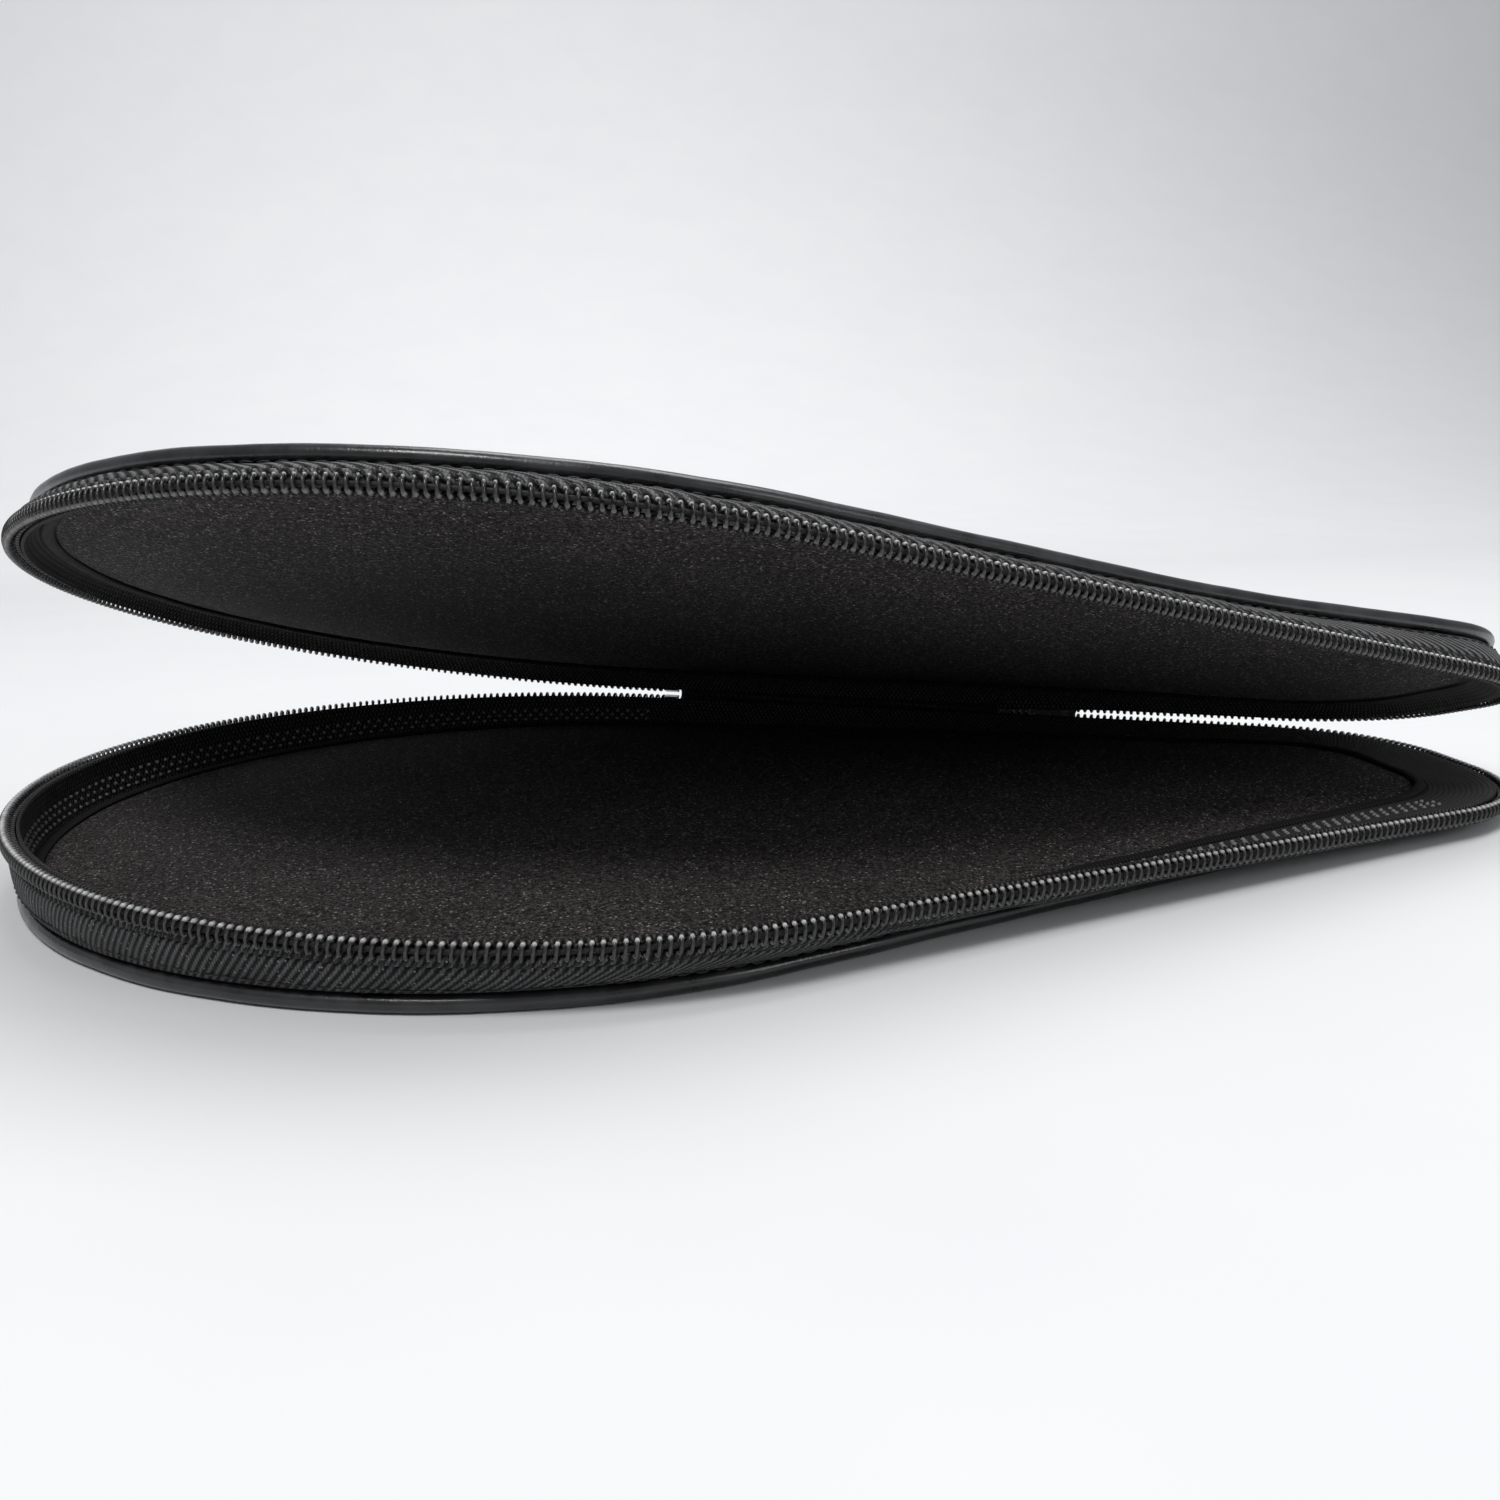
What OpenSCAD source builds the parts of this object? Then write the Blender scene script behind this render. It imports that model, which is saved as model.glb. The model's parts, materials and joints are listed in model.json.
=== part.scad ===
// Zipped soft case for one table tennis paddle, lying on its back with the lid part open.
// Origin: centre of the round head end, on the underside. +X runs to the handle end,
// +Y to the spine where the lid is hinged, -Y to the open side. Millimetres.

/* [Outline] */
// Radius of the round head end at the zipper
head_r = 93; // [85:0.5:100]
// Distance from the head centre to the handle end
handle_x = 186; // [180:1:215]
// Half width of the handle end
handle_half_w = 42; // [38:0.5:46]
// Corner radius of the handle end
corner_r = 36; // [28:0.5:36]

/* [Base tray] */
// Height of the zipper edge above the underside, at the head centre
rim_h = 11.5; // [11:0.1:13]
// Fall of the zipper edge per millimetre towards the handle end
rim_fall = 0.032; // [0.02:0.001:0.032]
// How far the bottom edge stands in from the zipper edge, at the head centre
base_inset = 4.4; // [4.2:0.1:6]
// Growth of that inset per millimetre towards the handle end
inset_growth = 0.043; // [0.02:0.001:0.043]

/* [Lid] */
// Height of the lid above the zipper edge
lid_h = 8.7; // [8.7:0.1:14]
// How far the lid's top edge stands in from the zipper edge
lid_inset = 6.2; // [6:0.1:10]
// How much less it stands in at the tip of the head
lid_head_fill = 4; // [0:0.5:4]
// Angle the lid stands open
lid_open = 17.6; // [0:0.2:150]

/* [Layers] */
// Radius of the piping round each panel
piping_r = 1.35; // [1:0.05:1.4]
// Thickness of the woven cover
cover_t = 0.9; // [0.6:0.1:0.9]
// Thickness of the stiffening board
board_t = 1.2; // [0.8:0.1:1.2]
// Thickness of the foam pad
foam_t = 1.7; // [1:0.1:1.7]
// Thickness of the lining
lining_t = 0.7; // [0.4:0.1:0.7]
// Thickness of the zipper tape
tape_t = 0.8; // [0.5:0.1:0.8]

/* [Zipper] */
// Thickness of the zipper coil across the edge
coil_t = 2.4; // [2:0.1:2.4]
// Height of one half of the coil
coil_h = 2.4; // [2:0.1:2.4]
// Joined zipper between the bottom stop and the slider
chain_l = 4; // [3:0.5:8]
// Straight travel of the slider from its stop
slider_travel = 20; // [10:1:24]
// Length of the slider body
slider_l = 11; // [10:0.5:11]
// Width of the slider body
slider_w = 8; // [7.6:0.1:8]
// Reach of the pull from its pivot
pull_l = 25; // [20:1:28]

/* [Hidden] */

// Clearances between stacked layers, the wall and its lining, the two zipper halves, and over the hinge
layer_gap = 0.1;
wall_gap = 0.25;
coil_gap = 0.2;
hinge_off = 1.3;
// Length of the bottom stop, and room past the pull when it points to the handle end
stop_l = 2.9;
pull_room = 1;

// Outline: the head circle and the two end corners, joined by their common tangents
corner_x = handle_x - corner_r;
corner_y = handle_half_w - corner_r;
tangent_a = atan2(corner_y, corner_x) + acos((head_r - corner_r) / norm([corner_x, corner_y]));
spine_start = head_r * [cos(tangent_a), sin(tangent_a)];
spine_end = [corner_x, corner_y] + corner_r * [cos(tangent_a), sin(tangent_a)];
spine_len = norm(spine_end - spine_start);
spine_a = tangent_a - 90;
rim_tilt = atan(rim_fall);

// Every outline station is [x, y, normal x, normal y]
head_steps = 40;
corner_steps = 8;
panel_head_steps = 60;
side_steps = 14;
function arc(c, r, a0, a1, n) = [for (i = [0 : n])
    let(a = a0 + (a1 - a0) * i / n) [c[0] + r * cos(a), c[1] + r * sin(a), cos(a), sin(a)]];
function between(p, q, n) = [for (i = [1 : n - 1]) p + (q - p) * i / n];
head_arc = arc([0, 0], head_r, tangent_a, 360 - tangent_a, head_steps);
near_corner = arc([corner_x, -corner_y], corner_r, -tangent_a, 0, corner_steps);
far_corner = arc([corner_x, corner_y], corner_r, 0, tangent_a, corner_steps);
// The zipper's way round: from the spine, round the head, along the open side and the handle end
zip_path = concat(
    head_arc,
    between(head_arc[head_steps], near_corner[0], side_steps),
    near_corner,
    far_corner
);
// The whole way round, closed by the spine
edge_path = concat(zip_path, between(far_corner[corner_steps], head_arc[0], side_steps));
// The same way round in finer steps, for the lid's panels
panel_path = concat(
    arc([0, 0], head_r, tangent_a, 360 - tangent_a, panel_head_steps),
    near_corner,
    far_corner
);
// A stretch of the spine, measured from its head end
function spine_point(q) = let(p = spine_start + (spine_end - spine_start) * q / spine_len)
    [p[0], p[1], cos(tangent_a), sin(tangent_a)];
function spine_stretch(q0, q1) = [for (i = [0 : side_steps]) spine_point(q1 + (q0 - q1) * i / side_steps)];

// Places along the spine: the panels' head end, where the zipper's tail starts on the base and on the
// lid, and the slider at its stop
spine_head_q = 5;
slider_from_tail = stop_l + chain_l + slider_l / 2;
tail_q = spine_len - slider_from_tail - slider_travel - pull_l - pull_room;
tail_gap = 2;
tail_lap = 1;
lid_tail_q = tail_q - pull_l + tail_gap;
slider_q = tail_q + slider_from_tail;

// Heights and insets
pipe_inset = piping_r + 0.05;
cover_inset = 2 * piping_r + 0.2;
board_inset = cover_inset + 0.7;
lining_inset = cover_inset + 0.3;
wall_foot_z = 2 * piping_r + 0.6;
wall_foot_u = 1.0;
wall_top_u = 0.2;
wall_top_z = coil_h + coil_gap + 0.5;
wall_lining_t = 0.65;
spine_rise = 2.3;
board_z = cover_t + layer_gap;
foam_z = board_z + board_t + layer_gap;
lining_z = foam_z + foam_t + layer_gap;
binding_r = 0.8;
binding_u = lining_inset + 1;
binding_z = lining_z + lining_t + binding_r + layer_gap;
function rim_z(x) = rim_h - rim_fall * x;
function bottom_inset(x) = base_inset + inset_growth * x;
function eased(t) = let(c = min(max(t, 0), 1)) c * c * (3 - 2 * c);
function lid_top_inset(x) = lid_inset - lid_head_fill * eased(-x / head_r);
function station(p, u, z) = [p[0] + u * p[2], p[1] + u * p[3], z];

// A wall point: w runs from the panel edge (0) to the zipper (1), t is measured along the
// normal, on the base away from the case and on the lid into it
function on_wall(foot, top, w, t) = let(d = (top - foot) / norm(top - foot))
    foot + (top - foot) * w + t * [d[1], -d[0]];
function base_wall(p, w, t, rise) =
    let(foot = [-bottom_inset(p[0]) - wall_foot_u, wall_foot_z],
        top = [-wall_top_u, rim_z(p[0]) - wall_top_z + rise],
        q = on_wall(foot, top, w, t))
    station(p, q[0], q[1]);
function lid_wall(p, w, t, rise) =
    let(foot = [-lid_top_inset(p[0]) - wall_foot_u, lid_h - wall_foot_z],
        top = [-wall_top_u, wall_top_z - rise],
        q = on_wall(foot, top, w, -t))
    station(p, q[0], q[1]);

// Sections
// A strip up the wall starts just above its foot and ends at a share of the wall's height
strip_start = 0.03;
base_lining_share = 0.86;
lid_lining_share = 0.6;
base_tail_share = 0.75;
lid_tail_share = 0.5;
function strip_section(w1, t0, t1) = [[strip_start, t0], [strip_start, t1], [w1, t1], [w1, t0]];
wall_section = strip_section(1, -tape_t / 2, tape_t / 2);
base_tail_section = strip_section(base_tail_share, -tape_t / 2, tape_t / 2);
lid_tail_section = strip_section(lid_tail_share, -tape_t / 2, tape_t / 2);
lining_face = -tape_t / 2 - wall_gap;
base_lining_section = strip_section(base_lining_share, lining_face - wall_lining_t, lining_face);
lid_lining_section = strip_section(lid_lining_share, lining_face - wall_lining_t, lining_face);
coil_out = hinge_off - 0.3;
coil_section = [
    [coil_out - coil_t, coil_gap],
    [coil_out, coil_gap],
    [coil_out, coil_gap + coil_h],
    [coil_out - coil_t, coil_gap + coil_h]
];
function round_section(r, n) = [for (i = [0 : n - 1]) r * [cos(360 * i / n), sin(360 * i / n)]];
function flipped(s) = [for (i = [len(s) - 1 : -1 : 0]) s[i]];

// A solid swept through rings of points
module swept(rings, closed = false) {
    m = len(rings);
    n = len(rings[0]);
    last = closed ? m - 1 : m - 2;
    sides = [for (j = [0 : last], k = [0 : n - 1])
        let(a = j * n, b = ((j + 1) % m) * n, k2 = (k + 1) % n) each
        [[a + k, b + k, b + k2], [a + k, b + k2, a + k2]]];
    caps = closed ? [] : [[for (k = [0 : n - 1]) k], [for (k = [n - 1 : -1 : 0]) (m - 1) * n + k]];
    polyhedron(points = [for (r = rings) each r], faces = concat(sides, caps), convexity = 10);
}

// Plan of a panel: the head's arc and the end corners' arcs, joined by tangents
module plan(hx, hr, cx, cr) {
    a = atan2(corner_y, cx - hx) + acos((hr - cr) / norm([cx - hx, corner_y]));
    stations = concat(
        arc([hx, 0], hr, a, 360 - a, panel_head_steps),
        arc([cx, -corner_y], cr, -a, 0, corner_steps),
        arc([cx, corner_y], cr, 0, a, corner_steps)
    );
    polygon([for (p = stations) [p[0], p[1]]]);
}
module base_panel(inset, z, t) {
    translate([0, 0, z])
        linear_extrude(t)
            plan(
                -inset_growth * head_r,
                head_r - base_inset - inset,
                corner_x - inset_growth * corner_r,
                corner_r - bottom_inset(corner_x) - inset
            );
}
module lid_panel(inset, z, t) {
    translate([0, 0, lid_h - z - t])
        linear_extrude(t)
            polygon([for (p = panel_path) [for (k = [0, 1])
                p[k] - (lid_top_inset(p[0]) + inset) * p[k + 2]]]);
}

// Frames: the plane of the zipper edge, the opened lid in it, and a place on the hinge line
module rim_frame() {
    translate([0, 0, rim_h]) rotate([0, rim_tilt, 0]) children();
}
module on_spine(q) {
    p = spine_point(q);
    translate([p[0], p[1], 0]) rotate([0, 0, spine_a]) translate([0, hinge_off, 0]) children();
}
module opened() {
    hinge = (head_r + hinge_off) * [cos(tangent_a), sin(tangent_a), 0];
    rim_frame()
        translate(hinge)
            rotate(a = -lid_open, v = [cos(spine_a), sin(spine_a), 0])
                translate(-hinge)
                    children();
}

// Base tray
module base_outer_cover() { color("#161616") base_panel(cover_inset, 0, cover_t); }
module base_stiffener_board() { color("#4a4238") base_panel(board_inset, board_z, board_t); }
module base_foam_pad() { color("#6f6f72") base_panel(board_inset, foam_z, foam_t); }
module base_lining() { color("#1d1b1b") base_panel(lining_inset, lining_z, lining_t); }
module base_wall_lining() {
    color("#242222")
        swept([for (p = zip_path) [for (s = base_lining_section) base_wall(p, s[0], s[1], 0)]]);
}
module base_seam_binding() {
    color("#101010")
        swept([for (p = edge_path) [for (s = flipped(round_section(binding_r, 6)))
            station(p, -bottom_inset(p[0]) - binding_u + s[0], binding_z + s[1])]], closed = true);
}
module base_piping() {
    color("#0c0c0d")
        swept([for (p = edge_path) [for (s = flipped(round_section(piping_r, 8)))
            station(p, -bottom_inset(p[0]) - pipe_inset + s[0], piping_r + s[1])]], closed = true);
}
module base_zip_tape() {
    color("#171717") swept([for (p = zip_path) [for (s = wall_section) base_wall(p, s[0], s[1], 0)]]);
}
module base_zip_coil() {
    color("#2a2a2a")
        swept([for (p = zip_path) [for (s = coil_section) station(p, s[0], rim_z(p[0]) - s[1])]]);
}
top_stop_q = 2;
top_stop_l = 3.2;
top_stop_w = 2.9;
top_stop_h = coil_h + 0.4;
top_stop_z = coil_gap + 0.1;
module top_stop_shape(side) {
    on_spine(top_stop_q)
        translate([-top_stop_l / 2, -top_stop_w - 0.2, side > 0 ? top_stop_z : -top_stop_z - top_stop_h])
            cube([top_stop_l, top_stop_w, top_stop_h]);
}
module base_top_stop() { color("#3c3c3e") rim_frame() top_stop_shape(-1); }
module base_spine_panel() {
    color("#161616") {
        swept([for (p = spine_stretch(spine_head_q, tail_q - tail_gap))
            [for (s = flipped(wall_section)) base_wall(p, s[0], s[1], spine_rise)]]);
        swept([for (p = spine_stretch(tail_q - tail_gap - tail_lap, spine_len))
            [for (s = flipped(base_tail_section)) base_wall(p, s[0], s[1], 0)]]);
    }
}

// Lid
module lid_outer_cover() { color("#161616") opened() lid_panel(cover_inset, 0, cover_t); }
module lid_stiffener_board() { color("#4a4238") opened() lid_panel(board_inset, board_z, board_t); }
module lid_foam_pad() { color("#6f6f72") opened() lid_panel(board_inset, foam_z, foam_t); }
module lid_lining() { color("#1d1b1b") opened() lid_panel(lining_inset, lining_z, lining_t); }
module lid_wall_lining() {
    color("#242222")
        opened()
            swept([for (p = zip_path) [for (s = flipped(lid_lining_section)) lid_wall(p, s[0], s[1], 0)]]);
}
module lid_seam_binding() {
    color("#101010")
        opened()
            swept([for (p = edge_path) [for (s = flipped(round_section(binding_r, 6)))
                station(p, -lid_top_inset(p[0]) - binding_u + s[0], lid_h - binding_z + s[1])]],
                closed = true);
}
module lid_piping() {
    color("#0c0c0d")
        opened()
            swept([for (p = edge_path) [for (s = flipped(round_section(piping_r, 8)))
                station(p, -lid_top_inset(p[0]) - pipe_inset + s[0], lid_h - piping_r + s[1])]],
                closed = true);
}
module lid_zip_tape() {
    color("#171717")
        opened() swept([for (p = zip_path) [for (s = flipped(wall_section)) lid_wall(p, s[0], s[1], 0)]]);
}
module lid_zip_coil() {
    color("#2a2a2a")
        opened()
            swept([for (p = zip_path) [for (s = flipped(coil_section)) station(p, s[0], s[1])]]);
}
module lid_top_stop() { color("#3c3c3e") opened() top_stop_shape(1); }
module lid_spine_panel() {
    color("#161616") opened() {
        swept([for (p = spine_stretch(spine_head_q, lid_tail_q))
            [for (s = wall_section) lid_wall(p, s[0], s[1], spine_rise)]]);
        swept([for (p = spine_stretch(lid_tail_q - tail_lap, spine_len))
            [for (s = lid_tail_section) lid_wall(p, s[0], s[1], 0)]]);
    }
}

// Spine fold and the zipper's joined end
fold_r = 1;
chain_half_h = 2.3;
// How far the joined chain reaches into the back of the slider
chain_in_slider = 2.4;
bottom_stop_w = 3.2;
bottom_stop_h = 5.4;
module spine_fold() {
    color("#131313")
        rim_frame()
            on_spine(spine_head_q)
                rotate([0, 90, 0])
                    cylinder(h = tail_q - tail_gap - spine_head_q, r = fold_r, $fn = 32);
}
module joined_chain() {
    color("#2a2a2a")
        rim_frame()
            on_spine(tail_q + stop_l + layer_gap)
                translate([0, -coil_t / 2, -chain_half_h])
                    cube([chain_l - layer_gap + chain_in_slider, coil_t, 2 * chain_half_h]);
}
module bottom_stop() {
    color("#3c3c3e")
        rim_frame()
            on_spine(tail_q)
                translate([0, -bottom_stop_w / 2, -bottom_stop_h / 2])
                    cube([stop_l, bottom_stop_w, bottom_stop_h]);
}

// Slider: two plates joined by a wedge, lips that hold the tapes, and a bridge for the pull
plate_in = coil_t / 2 + 0.5;
plate_t = 1;
plate_step = 0.8;
nose_r = 2.6;
nose_room = 2;
wide_share = 0.55;
lip_h = 0.8;
lip_t = 0.9;
wedge_x = 1.4;
wedge_l = 3.2;
wedge_half_w = 1.3;
bridge_w = 2.4;
bridge_half_l = 3.6;
bridge_t = 1;
bridge_gap = 2;
pivot_y = plate_in + plate_t + bridge_gap / 2;
module slider_plate(y) {
    translate([0, y + plate_t, 0])
        rotate([90, 0, 0])
            linear_extrude(plate_t)
                union() {
                    translate([-slider_l / 2, -slider_w / 2 + plate_step])
                        square([slider_l - nose_room, slider_w - 2 * plate_step]);
                    translate([-slider_l / 2, -slider_w / 2]) square([slider_l * wide_share, slider_w]);
                    for (side = [-1, 1])
                        translate([slider_l / 2 - nose_r, side * (slider_w / 2 - nose_r)])
                            circle(nose_r, $fn = 48);
                }
}
module slider_lips() {
    for (face = [-1, 1], side = [-1, 1])
        translate([
            -slider_l / 2,
            face > 0 ? plate_in - lip_h : -plate_in,
            side > 0 ? slider_w / 2 - lip_t : -slider_w / 2
        ])
            cube([slider_l * wide_share, lip_h, lip_t]);
}
module slider_wedge() {
    tip = 0.3;
    shoulder = 2.4;
    translate([wedge_x, plate_in, 0])
        rotate([90, 0, 0])
            linear_extrude(2 * plate_in)
                polygon([
                    [0, -tip], [shoulder, -wedge_half_w], [wedge_l, -wedge_half_w],
                    [wedge_l, wedge_half_w], [shoulder, wedge_half_w], [0, tip]
                ]);
}
module slider_bridge() {
    translate([0, plate_in + plate_t, -bridge_w / 2])
        linear_extrude(bridge_w)
            difference() {
                translate([-bridge_half_l, 0]) square([2 * bridge_half_l, bridge_gap + bridge_t]);
                translate([-bridge_half_l + bridge_t, -1])
                    square([2 * (bridge_half_l - bridge_t), bridge_gap + 1]);
            }
}
module slider_body() {
    color("#2b2b2d") rim_frame() on_spine(slider_q) {
        slider_plate(plate_in);
        slider_plate(-plate_in - plate_t);
        slider_lips();
        slider_wedge();
        slider_bridge();
    }
}

// Pull: a metal lever with its crossbar under the bridge, and a moulded grip
bar_r = 0.7;
arm_gap = bridge_w / 2 + 1;
arm_w = 1;
lever_t = 1.2;
lever_plate_x = 5;
lever_half_w = arm_gap + arm_w;
grip_x = 12;
grip_half_w = 3.8;
grip_t = 2.4;
tongue_l = 6;
tongue_half_w = 2.4;
tongue_root = 1;
seam_gap = 0.1;
module pull_frame() { rim_frame() on_spine(slider_q) translate([0, pivot_y, 0]) children(); }
module pull_tongue() {
    translate([-grip_x - tongue_l, -lever_t / 2, -tongue_half_w])
        cube([tongue_l + tongue_root, lever_t, 2 * tongue_half_w]);
}
module pull_lever() {
    color("#2f2f31") pull_frame() {
        translate([0, 0, -lever_half_w]) cylinder(h = 2 * lever_half_w, r = bar_r, $fn = 32);
        for (side = [-1, 1])
            translate([-lever_plate_x - 1, -lever_t / 2, side > 0 ? arm_gap : -lever_half_w])
                cube([lever_plate_x + 1, lever_t, arm_w]);
        translate([-grip_x + seam_gap, -lever_t / 2, -lever_half_w])
            cube([grip_x - lever_plate_x - seam_gap, lever_t, 2 * lever_half_w]);
        pull_tongue();
    }
}
module pull_grip() {
    color("#0f0f10") pull_frame() difference() {
        translate([-pull_l, grip_t / 2, 0])
            rotate([90, 0, 0])
                linear_extrude(grip_t)
                    union() {
                        translate([grip_half_w, -grip_half_w])
                            square([pull_l - grip_x - grip_half_w, 2 * grip_half_w]);
                        translate([grip_half_w, 0]) circle(grip_half_w, $fn = 64);
                    }
        pull_tongue();
    }
}

base_outer_cover();
base_stiffener_board();
base_foam_pad();
base_lining();
base_wall_lining();
base_seam_binding();
base_piping();
base_zip_tape();
base_zip_coil();
base_top_stop();
base_spine_panel();
lid_outer_cover();
lid_stiffener_board();
lid_foam_pad();
lid_lining();
lid_wall_lining();
lid_seam_binding();
lid_piping();
lid_zip_tape();
lid_zip_coil();
lid_top_stop();
lid_spine_panel();
spine_fold();
joined_chain();
bottom_stop();
slider_body();
pull_lever();
pull_grip();
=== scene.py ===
"""Looks of the zipped table tennis paddle case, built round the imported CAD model."""

import json
import math

import bmesh
import bpy
import numpy as np
from mathutils import Matrix, Vector


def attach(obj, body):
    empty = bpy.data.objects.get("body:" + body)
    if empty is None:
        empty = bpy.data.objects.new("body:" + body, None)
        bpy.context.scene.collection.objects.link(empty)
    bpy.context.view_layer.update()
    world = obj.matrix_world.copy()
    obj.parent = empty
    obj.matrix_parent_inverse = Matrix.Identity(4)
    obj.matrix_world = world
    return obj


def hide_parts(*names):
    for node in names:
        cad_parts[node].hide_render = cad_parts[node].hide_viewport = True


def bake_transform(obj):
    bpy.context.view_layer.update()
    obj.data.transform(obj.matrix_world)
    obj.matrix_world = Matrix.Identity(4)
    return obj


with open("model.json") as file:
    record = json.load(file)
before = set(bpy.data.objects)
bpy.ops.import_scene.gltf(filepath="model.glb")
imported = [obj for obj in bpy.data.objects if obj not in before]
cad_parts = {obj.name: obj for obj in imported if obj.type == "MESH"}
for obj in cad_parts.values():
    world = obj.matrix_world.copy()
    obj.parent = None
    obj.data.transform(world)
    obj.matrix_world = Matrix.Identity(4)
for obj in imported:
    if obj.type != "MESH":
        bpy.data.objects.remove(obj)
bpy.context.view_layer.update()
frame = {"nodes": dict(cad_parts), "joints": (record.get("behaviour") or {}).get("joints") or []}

# Driving sizes of the CAD model. Shapes are worked out in millimetres, and meshes are made in metres.
MM = 0.001
HEAD_R = 93.0
HANDLE_X = 186.0
HANDLE_HALF_W = 42.0
CORNER_R = 36.0
RIM_H = 11.5
RIM_FALL = 0.032
BASE_INSET = 4.4
INSET_GROWTH = 0.043
LID_H = 8.7
LID_INSET = 6.2
LID_HEAD_FILL = 4.0
PIPING_R = 1.35
HINGE_OFF = 1.3
COIL_PITCH = 1.5
SLIDER_L = 11.0
SLIDER_TRAVEL = 20.0
PULL_L = 25.0
STOP_L = 2.9
CHAIN_L = 4.0
TAIL_LEN = STOP_L + CHAIN_L + SLIDER_L / 2 + SLIDER_TRAVEL + PULL_L + 1

# The wall of fabric. IN is how far inside the zipper's outline, H how far from the panel's face or the rim.
TAPE_FOOT_IN, TAPE_FOOT_H = 1.0, 3.3
TAPE_TOP_IN, TAPE_TOP_H = 0.4, 3.2
TAPE_HEM_IN, TAPE_HEM_H = 0.8, 2.1
TAPE_BULGE = 0.55
TAPE_CREASE = 0.35
LINING_FOOT_IN, LINING_FOOT_H = 2.4, 4.2
LINING_TOP_IN, LINING_TOP_H = 1.8, 0.9
LINING_SAG = 0.5
LID_END_FILL = 2.8
LID_END_RISE = 3.2
SPINE_RISE = 2.4

# The zipper's coil: its middle below the rim, how far it reaches each way, and its thread.
FILAMENT_R = 0.29
COIL_MID_U = 0.05
COIL_MID_Z = 1.62
COIL_REACH_U = 0.86
COIL_REACH_Z = 1.16
COIL_STEPS = 14
COIL_SIDES = 6
LOOP_PITCH = 2.6

# ------------------------------------------------------------------ outline and frames

CORNER_X = HANDLE_X - CORNER_R
CORNER_Y = HANDLE_HALF_W - CORNER_R
TANGENT = math.atan2(CORNER_Y, CORNER_X) + math.acos((HEAD_R - CORNER_R) / math.hypot(CORNER_X, CORNER_Y))
NORMAL = np.array([math.cos(TANGENT), math.sin(TANGENT)])
SPINE_DIR = np.array([NORMAL[1], -NORMAL[0]])
SPINE_START = HEAD_R * NORMAL
SPINE_END = np.array([CORNER_X, CORNER_Y]) + CORNER_R * NORMAL
SPINE_LEN = float(np.linalg.norm(SPINE_END - SPINE_START))
HEAD_ARC = HEAD_R * 2 * (math.pi - TANGENT)
CORNER_ARC = CORNER_R * TANGENT
ZIP_LEN = HEAD_ARC + SPINE_LEN + 2 * CORNER_ARC + 2 * CORNER_Y
EDGE_LEN = ZIP_LEN + SPINE_LEN
TAIL_Q = SPINE_LEN - TAIL_LEN
SLIDER_Q = TAIL_Q + STOP_L + CHAIN_L + SLIDER_L / 2
TILT = math.atan(RIM_FALL)
LID_JOINT = next(j for j in frame["joints"] if j["name"] == "lid_hinge")
LID_OPEN = -math.radians(LID_JOINT["range_deg"][0])
HINGE = (HEAD_R + HINGE_OFF) * NORMAL


def edge(s):
    """Points and outward normals of the zipper's outline, at lengths s from the spine's head end."""
    s = np.mod(np.asarray(s, float), EDGE_LEN)
    marks = np.cumsum([0, HEAD_ARC, SPINE_LEN, CORNER_ARC, 2 * CORNER_Y, CORNER_ARC, SPINE_LEN])
    near = NORMAL * [1, -1]
    xy = np.zeros((len(s), 2))
    normal = np.zeros((len(s), 2))

    def stretch(k):
        m = (s >= marks[k]) & (s <= marks[k + 1])
        return m, s[m] - marks[k]

    def arc(k, centre, radius, start):
        m, along = stretch(k)
        a = start + along / radius
        normal[m] = np.stack([np.cos(a), np.sin(a)], 1)
        xy[m] = np.array(centre) + radius * normal[m]

    def line(k, start, direction, n):
        m, along = stretch(k)
        xy[m] = np.array(start) + np.array(direction) * along[:, None]
        normal[m] = n

    arc(0, (0, 0), HEAD_R, TANGENT)
    line(1, HEAD_R * near, SPINE_DIR * [1, -1], near)
    arc(2, (CORNER_X, -CORNER_Y), CORNER_R, -TANGENT)
    line(3, (HANDLE_X, -CORNER_Y), (0, 1), (1, 0))
    arc(4, (CORNER_X, CORNER_Y), CORNER_R, 0)
    line(5, SPINE_END, -SPINE_DIR, NORMAL)
    return xy, normal


def spine_s(q):
    """The outline length of a place on the spine, q along it from the head end."""
    return EDGE_LEN - q


def rim_z(x):
    return RIM_H - RIM_FALL * x


def bottom_inset(x):
    return BASE_INSET + INSET_GROWTH * x


def smooth(x, low, high):
    t = np.clip((x - low) / (high - low), 0, 1)
    return t * t * (3 - 2 * t)


def wander(s, seed, wavelengths=(23.0, 37.0, 61.0)):
    """A gentle, repeatable unevenness along a length, about -1 to 1."""
    total = 0
    for k, w in enumerate(wavelengths):
        total = total + np.sin(2 * math.pi * (s / w + 0.37 * (k + 1) * (seed + 1)))
    return total / len(wavelengths)


def placed(points, matrix):
    m = np.array(matrix)
    return points @ m[:3, :3].T + m[:3, 3]


RIM_FRAME = Matrix.Translation((0, 0, RIM_H)) @ Matrix.Rotation(TILT, 4, "Y")
HINGE_AT = Matrix.Translation((HINGE[0], HINGE[1], 0))
SPINE_AXIS = Vector((SPINE_DIR[0], SPINE_DIR[1], 0))
LID_FRAME = RIM_FRAME @ HINGE_AT @ Matrix.Rotation(-LID_OPEN, 4, SPINE_AXIS) @ HINGE_AT.inverted()


def at_edge(s, u, z):
    xy, n = edge(s)
    return np.concatenate([xy + n * np.reshape(u, (-1, 1)), np.reshape(z, (-1, 1))], 1)


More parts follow.
